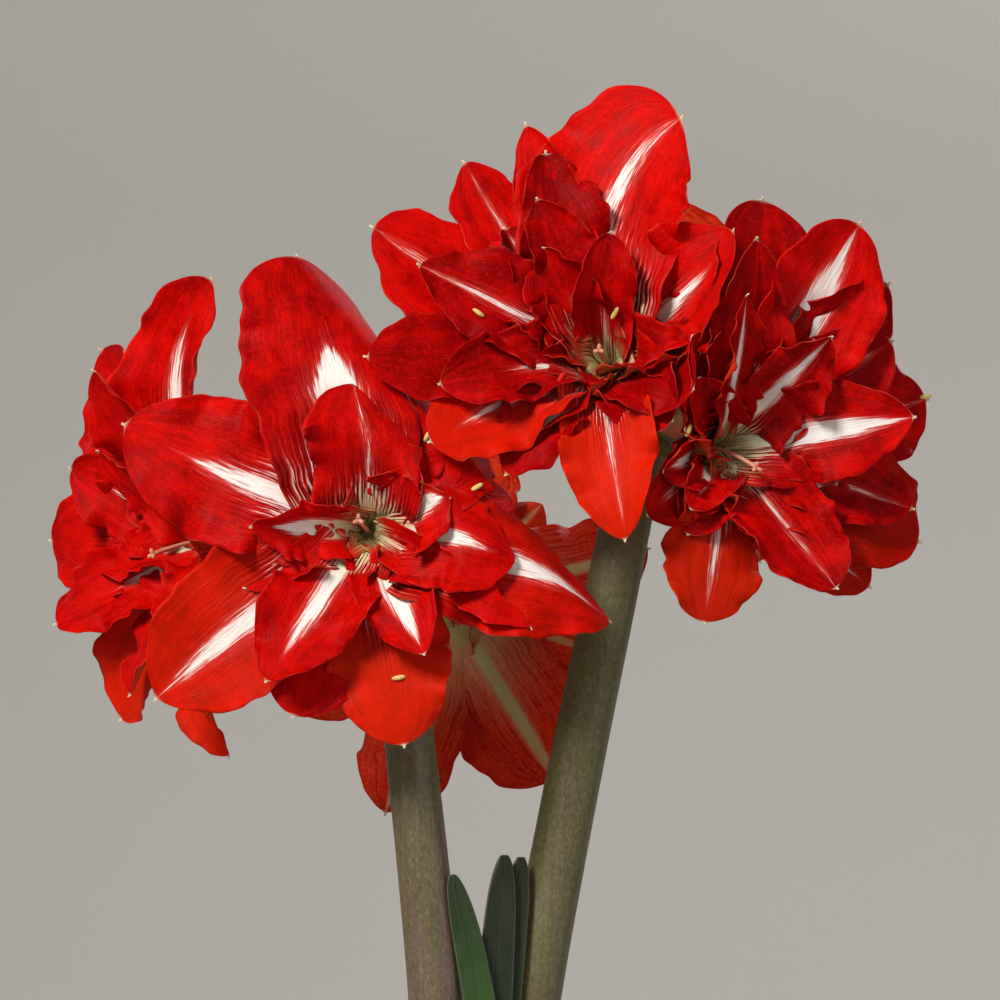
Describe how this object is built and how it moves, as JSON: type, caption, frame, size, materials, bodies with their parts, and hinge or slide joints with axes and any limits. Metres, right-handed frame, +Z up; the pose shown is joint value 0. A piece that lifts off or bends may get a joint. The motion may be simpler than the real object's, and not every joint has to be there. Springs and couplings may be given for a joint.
{
  "type": "potted amaryllis",
  "caption": "Bulb in a plain round pot with leafless flower stalks, short young leaves and large double red blooms streaked with white.",
  "frame": {"origin": "middle of the pot's flat underside", "axes": "+Z up along the plant; -Y towards the viewer of the picture, which the front bloom faces; +X to the viewer's right"},
  "size_m": [0.3622, 0.2011, 0.6539],
  "materials": {
    "pot_glaze": "pale grey satin glaze",
    "potting_mix": null,
    "bulb_tunic": "dry brown papery scales over a fleshy bulb",
    "stalk_green": "smooth waxy olive green with a purple bloom",
    "leaf_green": "smooth dark green leaf",
    "petal_red": "satin red petal with white streaks and fine veins"
  },
  "bodies": {
    "root": {"pot": "pot_glaze", "soil": "potting_mix", "bulb": "bulb_tunic", "stalk_left": "stalk_green", "stalk_right": "stalk_green", "leaf_front": "leaf_green", "leaf_middle": "leaf_green", "leaf_right": "leaf_green", "bloom_front": "petal_red", "bloom_left": "petal_red", "bloom_rear_left": "petal_red", "bloom_top": "petal_red", "bloom_right": "petal_red", "bloom_rear_right": "petal_red"}
  },
  "joints": []
}
